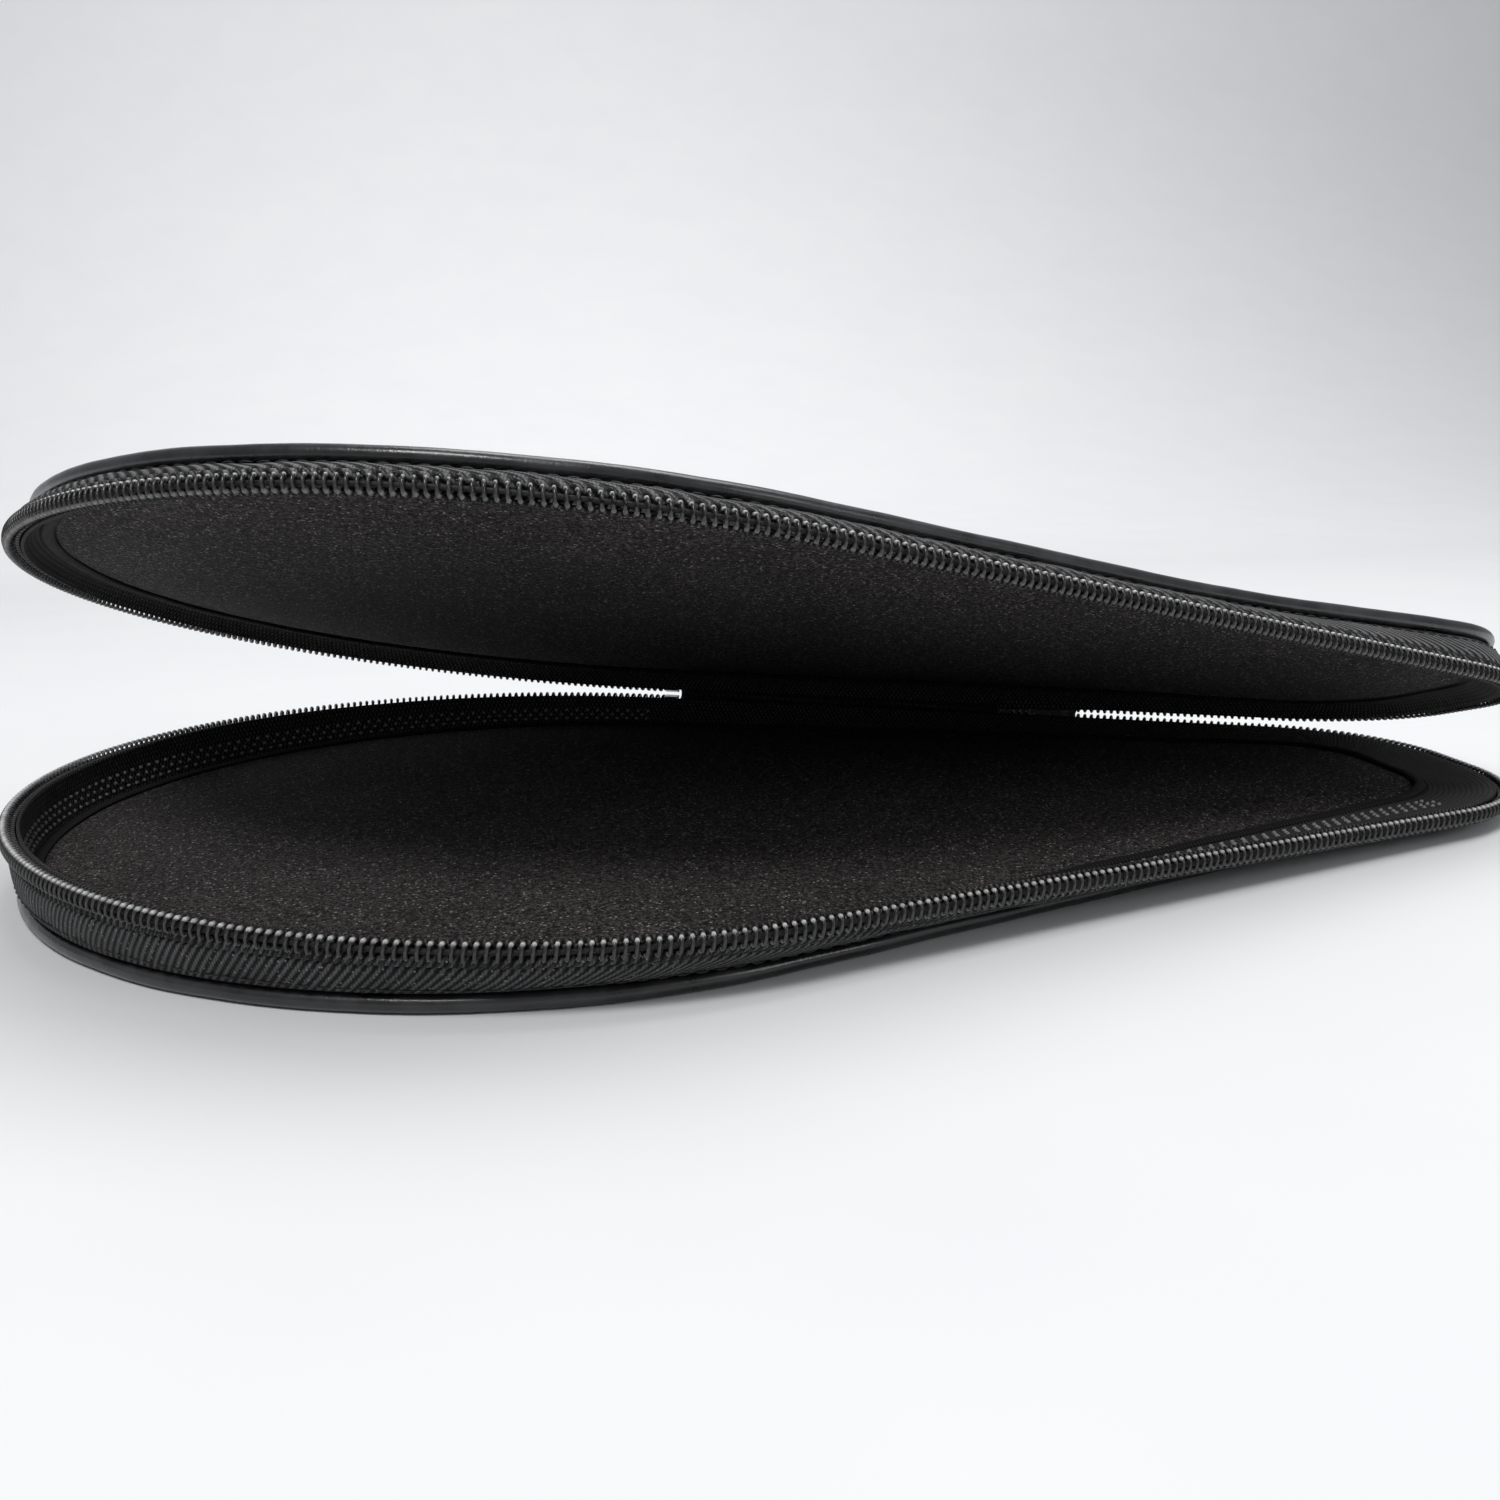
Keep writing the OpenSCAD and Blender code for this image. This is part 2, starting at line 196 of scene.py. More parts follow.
class Side:
    """One half of the case: how its wall runs, and where its points go. up is +1 where its panel is below."""

    def __init__(self, name):
        self.name = name
        self.is_base = name == "base"
        self.up = 1 if self.is_base else -1

    def points(self, s, u, z):
        flat = at_edge(s, u, z)
        return flat if self.is_base else placed(flat, LID_FRAME)

    def rim(self, x):
        return rim_z(x) if self.is_base else 0 * x

    def panel_z(self, x):
        return 0 * x if self.is_base else LID_H + 0 * x

    def edge_z(self, x):
        """The height of the panel's outer edge. The lid's fills out towards the handle end."""
        return self.panel_z(x) if self.is_base else LID_H + LID_END_RISE * smooth(x, 95, 185)

    def panel_inset(self, x):
        """How far inside the zipper the CAD's panel ends."""
        return bottom_inset(x) if self.is_base else LID_INSET - LID_HEAD_FILL * smooth(-x, 0, HEAD_R)

    def inset(self, x):
        """How far inside the zipper the cover ends. The lid's fills out towards the handle end."""
        fill = 0 if self.is_base else LID_END_FILL * smooth(x, 110, 180)
        return self.panel_inset(x) - fill

    def wall(self, x, w, rise=0.0):
        """u and z of the zipper tape's middle: w is 0 at the piping, 1 at the coil, and 1 to 2 behind it.
        With a rise it reaches that much closer to the rim."""
        foot_u = -self.inset(x) - TAPE_FOOT_IN
        foot_z = self.edge_z(x) + self.up * TAPE_FOOT_H
        top_u = -TAPE_TOP_IN
        top_z = self.rim(x) - self.up * (TAPE_TOP_H - rise)
        t = np.clip(w, 0, 1)
        behind = np.clip(w - 1, 0, 1)
        u = foot_u + (top_u - foot_u) * t - TAPE_HEM_IN * smooth(behind, 0, 0.6)
        z = foot_z + (top_z - foot_z) * t + self.up * TAPE_HEM_H * behind
        length = np.hypot(top_u - foot_u, top_z - foot_z)
        out_u = self.up * (top_z - foot_z) / length
        out_z = -self.up * (top_u - foot_u) / length
        bulge = TAPE_BULGE * np.sin(math.pi * t) ** 0.8 - TAPE_CREASE * np.exp(-(((t - 0.86) / 0.05) ** 2))
        return u + out_u * bulge, z + out_z * bulge

    def lining(self, x, w):
        """u and z of the wall lining's outer face, from the pad's edge to just behind the coil."""
        foot_u = -self.panel_inset(x) - LINING_FOOT_IN
        foot_z = self.panel_z(x) + self.up * LINING_FOOT_H
        top_u = -LINING_TOP_IN
        top_z = self.rim(x) - self.up * LINING_TOP_H
        u = foot_u + (top_u - foot_u) * w
        z = foot_z + (top_z - foot_z) * w
        length = np.hypot(top_u - foot_u, top_z - foot_z)
        sag = LINING_SAG * np.sin(math.pi * w)
        return u + self.up * sag * (top_z - foot_z) / length, z - self.up * sag * (top_u - foot_u) / length


def turned(s, u, z, turn):
    """Points over the rim's plane, turned open about the hinge line by an angle."""
    xy, n = edge(s)
    flat = xy + n * np.reshape(u, (-1, 1))
    off = HEAD_R + HINGE_OFF
    out, along = flat @ NORMAL - off, flat @ SPINE_DIR
    out, z = out * np.cos(turn) + z * np.sin(turn), z * np.cos(turn) - out * np.sin(turn)
    xy = NORMAL * (out + off)[:, None] + SPINE_DIR * along[:, None]
    return placed(np.concatenate([xy, z[:, None]], 1), RIM_FRAME)


class Tail(Side):
    """The lid's zipper beside the slider, held on the hinge line there and following the lid further away.
    The bend starts at start_q. It is whole after reach_q along the spine, or reach_wall along wall_way."""

    start_q = SLIDER_Q + 3
    reach_q = 40.0
    reach_wall = 5.0
    wall_way = np.array([-0.84, 0.54])

    def points(self, s, u, z):
        xy, n = edge(s)
        flat = xy + n * np.reshape(u, (-1, 1))
        out = flat @ NORMAL - HEAD_R - HINGE_OFF
        q = (flat - SPINE_START) @ SPINE_DIR
        from_hinge = out * self.wall_way[0] + z * self.wall_way[1]
        share = smooth((q - self.start_q) / self.reach_q + from_hinge / self.reach_wall, 0, 1)
        return turned(s, u, z, LID_OPEN * share)

    def blend(self, ob):
        """Bakes a piece's placing into its mesh. Its bend from the base to the lid comes from this tail's
        points.
        """
        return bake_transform(ob)


BASE = Side("base")
LID = Side("lid")
LID_TAIL = Tail("lid")


# ------------------------------------------------------------------ mesh helpers


def mesh_object(name, points, faces, flow=None):
    """A smooth mesh from points in millimetres. flow is each point's place on its fabric, for the weave."""
    me = bpy.data.meshes.new(name)
    me.from_pydata((np.asarray(points) * MM).tolist(), [], [tuple(f) for f in faces])
    if flow is not None:
        data = np.zeros((len(points), 3))
        data[:, : flow.shape[1]] = flow
        me.attributes.new("flow", "FLOAT_VECTOR", "POINT").data.foreach_set("vector", data.ravel())
    me.polygons.foreach_set("use_smooth", [True] * len(me.polygons))
    me.update()
    ob = bpy.data.objects.new(name, me)
    bpy.context.scene.collection.objects.link(ob)
    return ob


def grid_faces(rows, cols, wrap_rows=False, wrap_cols=False):
    r = np.arange(rows if wrap_rows else rows - 1)
    c = np.arange(cols if wrap_cols else cols - 1)
    rr, cc = np.meshgrid(r, c, indexing="ij")
    r2, c2 = (rr + 1) % rows, (cc + 1) % cols
    quads = np.stack([rr * cols + cc, rr * cols + c2, r2 * cols + c2, r2 * cols + cc], -1)
    return quads.reshape(-1, 4)


def end_caps(rows, cols):
    last = (rows - 1) * cols
    return [list(range(cols - 1, -1, -1)), list(range(last, last + cols))]


def outward(ob):
    """Turns every face of a closed mesh outwards."""
    bm = bmesh.new()
    bm.from_mesh(ob.data)
    bmesh.ops.recalc_face_normals(bm, faces=bm.faces)
    bm.to_mesh(ob.data)
    bm.free()
    return ob


def merged(ob):
    """Joins the points of a mesh that lie on each other, and turns its faces outwards."""
    reach = 0.01
    bm = bmesh.new()
    bm.from_mesh(ob.data)
    bmesh.ops.remove_doubles(bm, verts=bm.verts, dist=reach * MM)
    bmesh.ops.dissolve_degenerate(bm, edges=bm.edges, dist=reach * MM * 0.1)
    bmesh.ops.recalc_face_normals(bm, faces=bm.faces)
    bm.to_mesh(ob.data)
    bm.free()
    return ob


def tube_rings(path, radius, sides, guide=(0, 0, 1), flat=1.0, closed=False):
    """Rings of points round a path: radius may vary along it, and flat thins the ring along the guide."""
    path = np.asarray(path, float)
    if closed:
        ahead = np.roll(path, -1, 0) - np.roll(path, 1, 0)
    else:
        ahead = np.gradient(path, axis=0)
    ahead /= np.linalg.norm(ahead, axis=1)[:, None]
    side = np.cross(ahead, np.broadcast_to(np.asarray(guide, float), path.shape))
    side /= np.linalg.norm(side, axis=1)[:, None]
    up = np.cross(side, ahead)
    a = np.linspace(0, 2 * math.pi, sides, endpoint=False)
    r = np.broadcast_to(np.asarray(radius, float), (len(path),))[:, None, None]
    ring = side[:, None] * np.cos(a)[None, :, None] + flat * up[:, None] * np.sin(a)[None, :, None]
    return path[:, None] + ring * r


def tube(name, path, radius, sides=8, guide=(0, 0, 1), flat=1.0, closed=False, lengths=None):
    """A closed tube along a path. lengths are the path's lengths along the case, for its fabric."""
    rings = tube_rings(path, radius, sides, guide, flat, closed)
    rows = len(rings)
    faces = grid_faces(rows, sides, wrap_rows=closed, wrap_cols=True).tolist()
    if not closed:
        faces += end_caps(rows, sides)
    s = np.zeros(rows) if lengths is None else lengths
    round_it = np.linspace(0, 2 * math.pi, sides, endpoint=False) * np.max(radius)
    flow = np.stack([np.repeat(s, sides), np.tile(round_it, rows)], 1)
    return outward(mesh_object(name, rings.reshape(-1, 3), faces, flow))


def many(name, blocks, rings, sides):
    """One object from equal closed pieces, shaped (pieces, points, 3), each of rings of points."""
    count, size = blocks.shape[:2]
    one = grid_faces(rings, sides, wrap_cols=True)
    faces = (one[None] + (np.arange(count) * size)[:, None, None]).reshape(-1, 4).tolist()
    faces += [[b * size + k for k in c] for b in range(count) for c in end_caps(rings, sides)]
    return outward(mesh_object(name, blocks.reshape(-1, 3), faces))


# ------------------------------------------------------------------ strips, coils and rows


def wall_points(side, s, w, t, shift=None):
    """u, z and the length across of points t outwards from the wall's middle, at stations s and shares w.
    Without a shift they are the lining's."""
    x = edge(s)[0][:, :1]
    if shift is None:
        u, z = side.lining(x, w[None, :])
    else:
        u, z = side.wall(x, w[None, :])
        u = u + shift[:, None] * smooth(w, 0, 1)[None, :]
    du, dz = np.gradient(u, axis=1), np.gradient(z, axis=1)
    length = np.hypot(du, dz) + 1e-9
    u2 = u + side.up * dz / length * t
    z2 = z - side.up * du / length * t
    step_u = np.diff(u, axis=1, prepend=u[:, :1])
    step_z = np.diff(z, axis=1, prepend=z[:, :1])
    return u2, z2, np.cumsum(np.hypot(step_u, step_z), 1)


def wall_strip(name, side, s, w, t_out, t_in, shift=None, sag=0.0):
    """A strip of fabric on the wall, with faces at t_out and t_in, as one closed piece."""
    waves = sag * (wander(s, 1)[:, None] + 0.6 * wander(s, 4, (11.0, 17.0))[:, None])
    waves = waves * np.sin(math.pi * np.clip(w, 0, 1))[None, :]
    u1, z1, a1 = wall_points(side, s, w, t_out + waves, shift)
    u2, z2, a2 = wall_points(side, s, w, t_in + waves, shift)
    u = np.concatenate([u1, u2[:, ::-1]], 1)
    z = np.concatenate([z1, z2[:, ::-1]], 1)
    across = np.concatenate([a1, a2[:, ::-1]], 1)
    rows, cols = u.shape
    along = np.repeat(s, cols)
    points = side.points(along, u.ravel(), z.ravel())
    faces = grid_faces(rows, cols, wrap_cols=True).tolist() + end_caps(rows, cols)
    return outward(mesh_object(name, points, faces, np.stack([along, across.ravel()], 1)))


def coil(name, side, s0, s1, phase, shift_of):
    """One half's coil of nylon filament, with straight outer legs and wide heads.
    Its flow says where light is painted on the filament: x a painted highlight at the tips of the turns,
    strongest on the upper ones, and y painted light down the outer legs that face out."""
    turns = int(round((s1 - s0) / COIL_PITCH))
    a = np.arange(turns * COIL_STEPS + 1) * 2 * math.pi / COIL_STEPS
    s = s0 + (a - 0.6 * np.sin(a) + phase) * COIL_PITCH / (2 * math.pi)
    x = edge(s)[0][:, 0]
    head = np.sin(a)
    u = COIL_MID_U + COIL_REACH_U * np.sign(np.cos(a)) * np.abs(np.cos(a)) ** 0.8 + shift_of(s)
    z = side.rim(x) - side.up * (COIL_MID_Z - COIL_REACH_Z * head)
    r = FILAMENT_R * (1 + 0.22 * smooth(head, 0.5, 1))
    ob = tube(name, side.points(s, u, z), r, sides=COIL_SIDES, guide=(0.02, 0.01, 1))
    # Painted light: the outer legs, which face out, are marked to be paler, and the tips of the turns, the
    # upper ones most, to carry a painted highlight.
    outer = smooth(np.cos(a), -0.05, 0.4)
    upper, lower = (smooth(way * side.up * head, 0.8, 0.98) for way in (1, -1))
    tips = (upper + 0.3 * lower) * smooth(np.cos(a), -0.3, 0.05)
    painted_coil_light = np.stack([tips, outer], 1)
    data = np.zeros((len(a) * COIL_SIDES, 3))
    data[:, :2] = np.repeat(painted_coil_light, COIL_SIDES, axis=0)
    ob.data.attributes["flow"].data.foreach_set("vector", data.ravel())
    return ob


def capsules(name, starts, ends, radius, lift):
    """Short threads from starts to ends, each arched by lift, with rounded ends."""
    sides = steps = 5
    count = len(starts)
    t = np.linspace(0, 1, steps)
    path = starts[:, None] + (ends - starts)[:, None] * t[None, :, None]
    path = path + lift[:, None] * np.sin(math.pi * t)[None, :, None]
    ahead = ends - starts
    ahead = ahead / np.linalg.norm(ahead, axis=1)[:, None]
    out = lift / (np.linalg.norm(lift, axis=1)[:, None] + 1e-9)
    across = np.cross(ahead, out)
    a = np.linspace(0, 2 * math.pi, sides, endpoint=False)
    r = radius * np.array([0.35] + [1.0] * (steps - 2) + [0.35])
    cos, sin = (wave(a)[None, None, :, None] for wave in (np.cos, np.sin))
    ring = across[:, None, None] * cos + out[:, None, None] * sin
    blocks = (path[:, :, None] + ring * r[None, :, None, None]).reshape(count, steps * sides, 3)
    return many(name, blocks, steps, sides)


def wall_place(side, s, w, t, shift_of):
    """Places on the wall for paired arrays s, w and t."""
    xy, _ = edge(s)
    step = 0.01
    u0, z0 = side.wall(xy[:, 0], w - step)
    u1, z1 = side.wall(xy[:, 0], w + step)
    du, dz = u1 - u0, z1 - z0
    length = np.hypot(du, dz)
    u = (u0 + u1) / 2 + shift_of(s) * smooth(w, 0, 1) + side.up * dz / length * t
    z = (z0 + z1) / 2 - side.up * du / length * t
    return side.points(s, u, z)


def stitch_row(name, side, s0, s1, pitch, length, w0, w1, t, radius, shift_of):
    """A row of stitches on the wall, each slanting from share w0 to w1 over its length."""
    s = s0 + pitch * (0.5 + np.arange(int((s1 - s0) / pitch)))
    one = np.ones(len(s))
    starts = wall_place(side, s - length / 2, w0 * one, t * one, shift_of)
    ends = wall_place(side, s + length / 2, w1 * one, t * one, shift_of)
    top = wall_place(side, s, (w0 + w1) / 2 * one, (t + 1) * one, shift_of)
    low = wall_place(side, s, (w0 + w1) / 2 * one, t * one, shift_of)
    return capsules(name, starts, ends, radius, (top - low) * radius * 0.8)


def tail_shift(s):
    """How far the zipper's tail leans out, to run through the slider on the hinge line."""
    return (HINGE_OFF - COIL_MID_U) * smooth(s, ZIP_LEN + 3, spine_s(SLIDER_Q + SLIDER_L / 2))


# ------------------------------------------------------------------ panels

PANEL_STATIONS = 240
PANEL_OFFSETS = (0, 0.5, 1.2, 2.2, 3.6, 5.5, 8, 11)
PANEL_INNER_RINGS = 12


def panel_rings(side, extra):
    """Rings of a panel from its edge to its middle line, with each point's distance from the edge.
    The edge is extra further in than the cover's."""
    s = HEAD_ARC / 2 + np.arange(PANEL_STATIONS) * EDGE_LEN / PANEL_STATIONS
    xy, n = edge(s)
    rim = xy - n * (side.inset(xy[:, 0]) + extra)[:, None]
    end_x = CORNER_X - CORNER_Y * NORMAL[0] / NORMAL[1]
    end = n[:, 0] > NORMAL[0] + 1e-6
    straight = np.abs(n[:, 0] - NORMAL[0]) < 1e-6
    mid_x = np.where(straight, xy[:, 0] - n[:, 0] * xy[:, 1] / np.where(straight, n[:, 1], 1), 0)
    mid_x = np.clip(np.where(end, end_x, mid_x), 0, end_x)
    middle = np.stack([mid_x, 0 * mid_x], 1)
    reach = np.linalg.norm(rim - middle, axis=1)
    last = PANEL_OFFSETS[-1]
    rings = [np.full(PANEL_STATIONS, float(d)) for d in PANEL_OFFSETS]
    rings += [last + (reach - last) * (k + 1) / PANEL_INNER_RINGS for k in range(PANEL_INNER_RINGS)]
    d = np.stack(rings)
    points = rim[None] + (middle - rim)[None] * (d / reach[None])[..., None]
    return points, d


def panel(name, side, extra, z_out, z_in, lift=0.0):
    """A closed panel. z_out and z_in give its faces' heights inside the case's outer face, at a distance from
    the edge. lift is the share of the cover edge's own rise that the panel follows."""
    plan, d = panel_rings(side, extra)
    rings, stations = d.shape
    layers = []
    x = plan[..., 0]
    for height in (z_out, z_in):
        z = side.panel_z(x) + lift * (side.edge_z(x) - side.panel_z(x)) + side.up * height(d)
        p = np.concatenate([plan, z[..., None]], 2).reshape(-1, 3)
        layers.append(p if side.is_base else placed(p, LID_FRAME))
    faces = grid_faces(rings, stations, wrap_cols=True)
    count = rings * stations
    edge_ring = np.arange(stations)
    after = (edge_ring + 1) % stations
    sides = np.stack([edge_ring, after, after + count, edge_ring + count], 1)
    all_faces = np.concatenate([faces, faces[:, ::-1] + count, sides])
    flow = np.tile(plan.reshape(-1, 2), (2, 1))
    ob = mesh_object(name, np.concatenate(layers), all_faces.tolist(), flow)
    return merged(ob)


def puffed(ob, free, pressure, cap):
    """Swells the free points of a closed mesh by cloth pressure, cap millimetres at most."""
    scene = bpy.context.scene
    frames = 20
    rest = np.array([v.co for v in ob.data.vertices], float)
    held = ob.vertex_groups.new(name="held")
    held.add([int(i) for i in np.nonzero(~free(rest / MM))[0]], 1.0, "REPLACE")
    cloth = ob.modifiers.new("cloth", "CLOTH")
    fabric = cloth.settings
    fabric.quality = 6
    fabric.mass = 0.2
    fabric.tension_stiffness = fabric.compression_stiffness = 12
    fabric.shear_stiffness = 6
    fabric.bending_stiffness = 0.6
    fabric.use_pressure = True
    fabric.uniform_pressure_force = pressure
    fabric.vertex_group_mass = "held"
    fabric.effector_weights.gravity = 0
    cloth.collision_settings.use_collision = False
    cloth.point_cache.frame_start, cloth.point_cache.frame_end = 1, frames
    for f in range(1, frames + 1):
        scene.frame_set(f)
    got = ob.evaluated_get(bpy.context.evaluated_depsgraph_get()).to_mesh()
    after = np.array([v.co for v in got.vertices], float)
    ob.modifiers.remove(cloth)
    ob.vertex_groups.remove(ob.vertex_groups["held"])
    scene.frame_set(1)
    move = after - rest
    far = np.linalg.norm(move, axis=1)[:, None] + 1e-12
    move = move / far * cap * MM * np.tanh(far / (cap * MM))
    ob.data.vertices.foreach_set("co", (rest + move).ravel())
    ob.data.update()


def add_subdivision(ob):
    """Smooths a piece's faces when it is drawn."""
    m = ob.modifiers.new("subdivision", "SUBSURF")
    m.levels = m.render_levels = 1


def add_bevel(ob, width):
    m = ob.modifiers.new("bevel", "BEVEL")
    m.width = width * MM
    m.segments = 3
    m.limit_method = "ANGLE"
    m.angle_limit = math.radians(35)


# ------------------------------------------------------------------ materials


class Paint:
    """A procedural material on one Principled shader, with short names for the nodes it is built from."""

    def __init__(self, name, roughness, specular=0.5, sheen=0.0, sheen_roughness=0.5, coat=0.0):
        self.material = bpy.data.materials.new(name)
        self.material.use_nodes = True
        self.tree = self.material.node_tree
        self.shader = self.tree.nodes["Principled BSDF"]
        self.shader.inputs["Roughness"].default_value = roughness
        self.shader.inputs["Specular IOR Level"].default_value = specular
        self.shader.inputs["Sheen Weight"].default_value = sheen
        self.shader.inputs["Sheen Roughness"].default_value = sheen_roughness
        self.shader.inputs["Coat Weight"].default_value = coat
        self.shader.inputs["Coat Roughness"].default_value = 0.15

    def node(self, kind, **inputs):
        n = self.tree.nodes.new(kind)
        for key, value in inputs.items():
            socket = n.inputs[int(key[1:])] if key[1:].isdigit() else n.inputs[key.replace("_", " ")]
            self.feed(socket, value)
        return n

    def feed(self, socket, value):
        if isinstance(value, bpy.types.NodeSocket):
            self.tree.links.new(value, socket)
        else:
            socket.default_value = value

    def math(self, op, a, b=0.0, c=0.0):
        n = self.node("ShaderNodeMath", i0=a, i1=b, i2=c)
        n.operation = op
        return n.outputs[0]

    def place(self):
        """Each point's place in the case, in millimetres."""
        at = self.node("ShaderNodeTexCoord").outputs["Object"]
        n = self.node("ShaderNodeVectorMath", i0=at)
        n.operation = "SCALE"
        n.inputs["Scale"].default_value = 1000
        return n.outputs[0]

    def flow(self):
        """Each point's place on its own fabric, in millimetres: x along and y across."""
        n = self.tree.nodes.new("ShaderNodeAttribute")
        n.attribute_name = "flow"
        return n.outputs["Vector"]

    def split(self, vector):
        n = self.node("ShaderNodeSeparateXYZ", i0=vector)
        return n.outputs[0], n.outputs[1]

    def noise(self, vector, scale, detail=2.0, rough=0.5, stretch=None):
        if stretch is not None:
            m = self.node("ShaderNodeMapping", Vector=vector)
            m.inputs["Scale"].default_value = stretch
            vector = m.outputs[0]
        n = self.node("ShaderNodeTexNoise", Vector=vector, Scale=scale, Detail=detail, Roughness=rough)
        return n.outputs["Fac"]

    def cells(self, vector, scale, feature="F1"):
        n = self.node("ShaderNodeTexVoronoi", Vector=vector, Scale=scale)
        n.feature = feature
        return n.outputs["Distance"]

    def band(self, value, low, high, out_low=0.0, out_high=1.0):
        n = self.node("ShaderNodeMapRange", i0=value, i1=low, i2=high, i3=out_low, i4=out_high)
        n.interpolation_type = "SMOOTHSTEP"
        return n.outputs[0]

    def wave(self, value, pitch):
        """A smooth wave of that pitch, from 0 to 1."""
        sine = self.math("SINE", self.math("MULTIPLY", value, 2 * math.pi / pitch))
        return self.math("MULTIPLY_ADD", sine, 0.5, 0.5)

    def colour(self, first, second, share):
        """The first colour, which may come from another node, turned towards the second by a share."""
        n = self.node("ShaderNodeMix")
        n.data_type = "RGBA"
        self.feed(n.inputs["Factor"], share)
        self.feed(n.inputs[6], (*first, 1) if isinstance(first, tuple) else first)
        n.inputs[7].default_value = (*second, 1)
        return n.outputs[2]

    def finish(self, colour, height=None, depth=0.1, rough=None):
        """Sets the shader's colour, its bump depth millimetres high, and its roughness."""
        self.feed(self.shader.inputs["Base Color"], colour)
        if rough is not None:
            self.feed(self.shader.inputs["Roughness"], rough)
        if height is not None:
            n = self.node("ShaderNodeBump", Height=height, Strength=1.0, Distance=depth * MM)
            self.tree.links.new(n.outputs[0], self.shader.inputs["Normal"])
        return self.material


def diagonal(p, x, y, angle, pitch):
    """A wave whose crests run at an angle, in degrees, to the x way."""
    a = math.radians(angle)
    across = p.math("ADD", p.math("MULTIPLY", x, -math.sin(a)), p.math("MULTIPLY", y, math.cos(a)))
    return p.wave(across, pitch)


def woven_cover(name, on_panel):
    """Plain weave of textured polyester, with slubs and a little lint. A panel's weave runs with the case."""
    p = Paint(name, 0.8, specular=0.22, sheen=0.03, sheen_roughness=0.4)
    fabric = p.place() if on_panel else p.flow()
    x, y = p.split(fabric)
    pitch = 0.72
    warp = p.wave(x, pitch)
    weft = p.wave(y, pitch)
    side_x = p.math("SUBTRACT", p.wave(x, 2 * pitch), 0.5)
    side_y = p.math("SUBTRACT", p.wave(y, 2 * pitch), 0.5)
    over = p.math("GREATER_THAN", p.math("MULTIPLY", side_x, side_y), 0.0)
    under = p.math("SUBTRACT", 1.0, over)
    height = p.math("ADD", p.math("MULTIPLY", over, warp), p.math("MULTIPLY", under, weft))
    slub = p.noise(fabric, 0.35, 3, 0.6, (1, 6, 1))
    fuzz = p.noise(p.place(), 4.0, 3, 0.7)
    height = p.math("ADD", p.math("MULTIPLY", height, 0.8), p.math("MULTIPLY", fuzz, 0.5))
    tone = p.math("MULTIPLY", p.band(height, 0.2, 1.2), p.band(slub, 0.2, 0.8, 0.55, 1.0))
    colour = p.colour((0.004, 0.004, 0.0043), (0.055, 0.055, 0.058), tone)
    return p.finish(colour, height, 0.16, p.band(fuzz, 0.2, 0.8, 0.68, 0.9))


def zip_tape(half, angle, pitch, pale):
    """Twilled tape: diagonal ribs, fuzzy between, with painted glints as small pale specks where the threads
    turn over.
    """
    p = Paint("zip_tape_" + half, 0.75, specular=0.22, sheen=0.04, sheen_roughness=0.35)
    x, y = p.split(p.flow())
    rib = diagonal(p, x, y, angle, pitch)
    step = p.wave(x, 0.55)
    grain = p.noise(p.place(), 3.2, 3, 0.65)
    wear = p.noise(p.place(), 0.09, 2, 0.5)
    ribs = p.math("MULTIPLY", rib, p.band(step, 0.0, 1.0, 0.6, 1.0))
    height = p.math("ADD", ribs, p.math("MULTIPLY", grain, 0.6))
    # Painted glints: small pale specks painted into the colour where light would glint on the threads.
    glint_flecks = p.band(p.cells(p.place(), 1.5), 0.12, 0.30, 1.0, 0.0)
    glint_share = p.band(p.noise(p.place(), 1.3, 1, 0.4), 0.5, 0.6)
    glint_flecks = p.math("MULTIPLY", glint_flecks, glint_share)
    tone = p.math("MULTIPLY", p.band(height, 0.4, 1.2), p.band(wear, 0.3, 0.7, 0.7, 1.0))
    # pale is the ribs' light tone; the lid's is raised above the base's as painted light.
    colour = p.colour((0.003, 0.003, 0.0032), (pale, pale, 1.02 * pale), tone)
    colour = p.colour(colour, (0.42, 0.42, 0.425), p.math("MULTIPLY", glint_flecks, 0.6))
    return p.finish(colour, height, 0.3, p.band(grain, 0.3, 0.7, 0.62, 0.86))


def nylon_coil():
    """Dark nylon filament, with a painted highlight at the tips of its turns and painted light a little down
    the outer legs.
    """
    p = Paint("nylon_coil", 0.25, specular=0.5, coat=0.1)
    tips, legs = p.split(p.flow())
    grime = p.noise(p.place(), 0.8, 3, 0.6)
    uneven = p.noise(p.place(), 0.35, 2, 0.6)
    colour = p.colour((0.004, 0.004, 0.0042), (0.012, 0.012, 0.0125), p.band(grime, 0.35, 0.75))
    legs = p.math("MULTIPLY", legs, p.band(uneven, 0.25, 0.7, 0.5, 1.0))
    tips = p.math("MULTIPLY", tips, p.band(uneven, 0.25, 0.7, 0.6, 1.0))
    # Painted light on the outer legs, then a near-white painted highlight on the tips of the turns.
    colour = p.colour(colour, (0.035, 0.034, 0.033), legs)
    colour = p.colour(colour, (0.8, 0.79, 0.78), tips)
    return p.finish(colour, grime, 0.02, p.band(grime, 0.3, 0.75, 0.18, 0.34))


def sewing_thread():
    """Black twisted thread."""
    p = Paint("sewing_thread", 0.55, specular=0.25, sheen=0.02)
    twist = p.noise(p.place(), 3.0, 2, 0.5, (1.0, 1.0, 3.0))
    colour = p.colour((0.004, 0.004, 0.004), (0.035, 0.035, 0.036), p.band(twist, 0.35, 0.7))
    return p.finish(colour, twist, 0.1, p.band(twist, 0.3, 0.7, 0.45, 0.65))


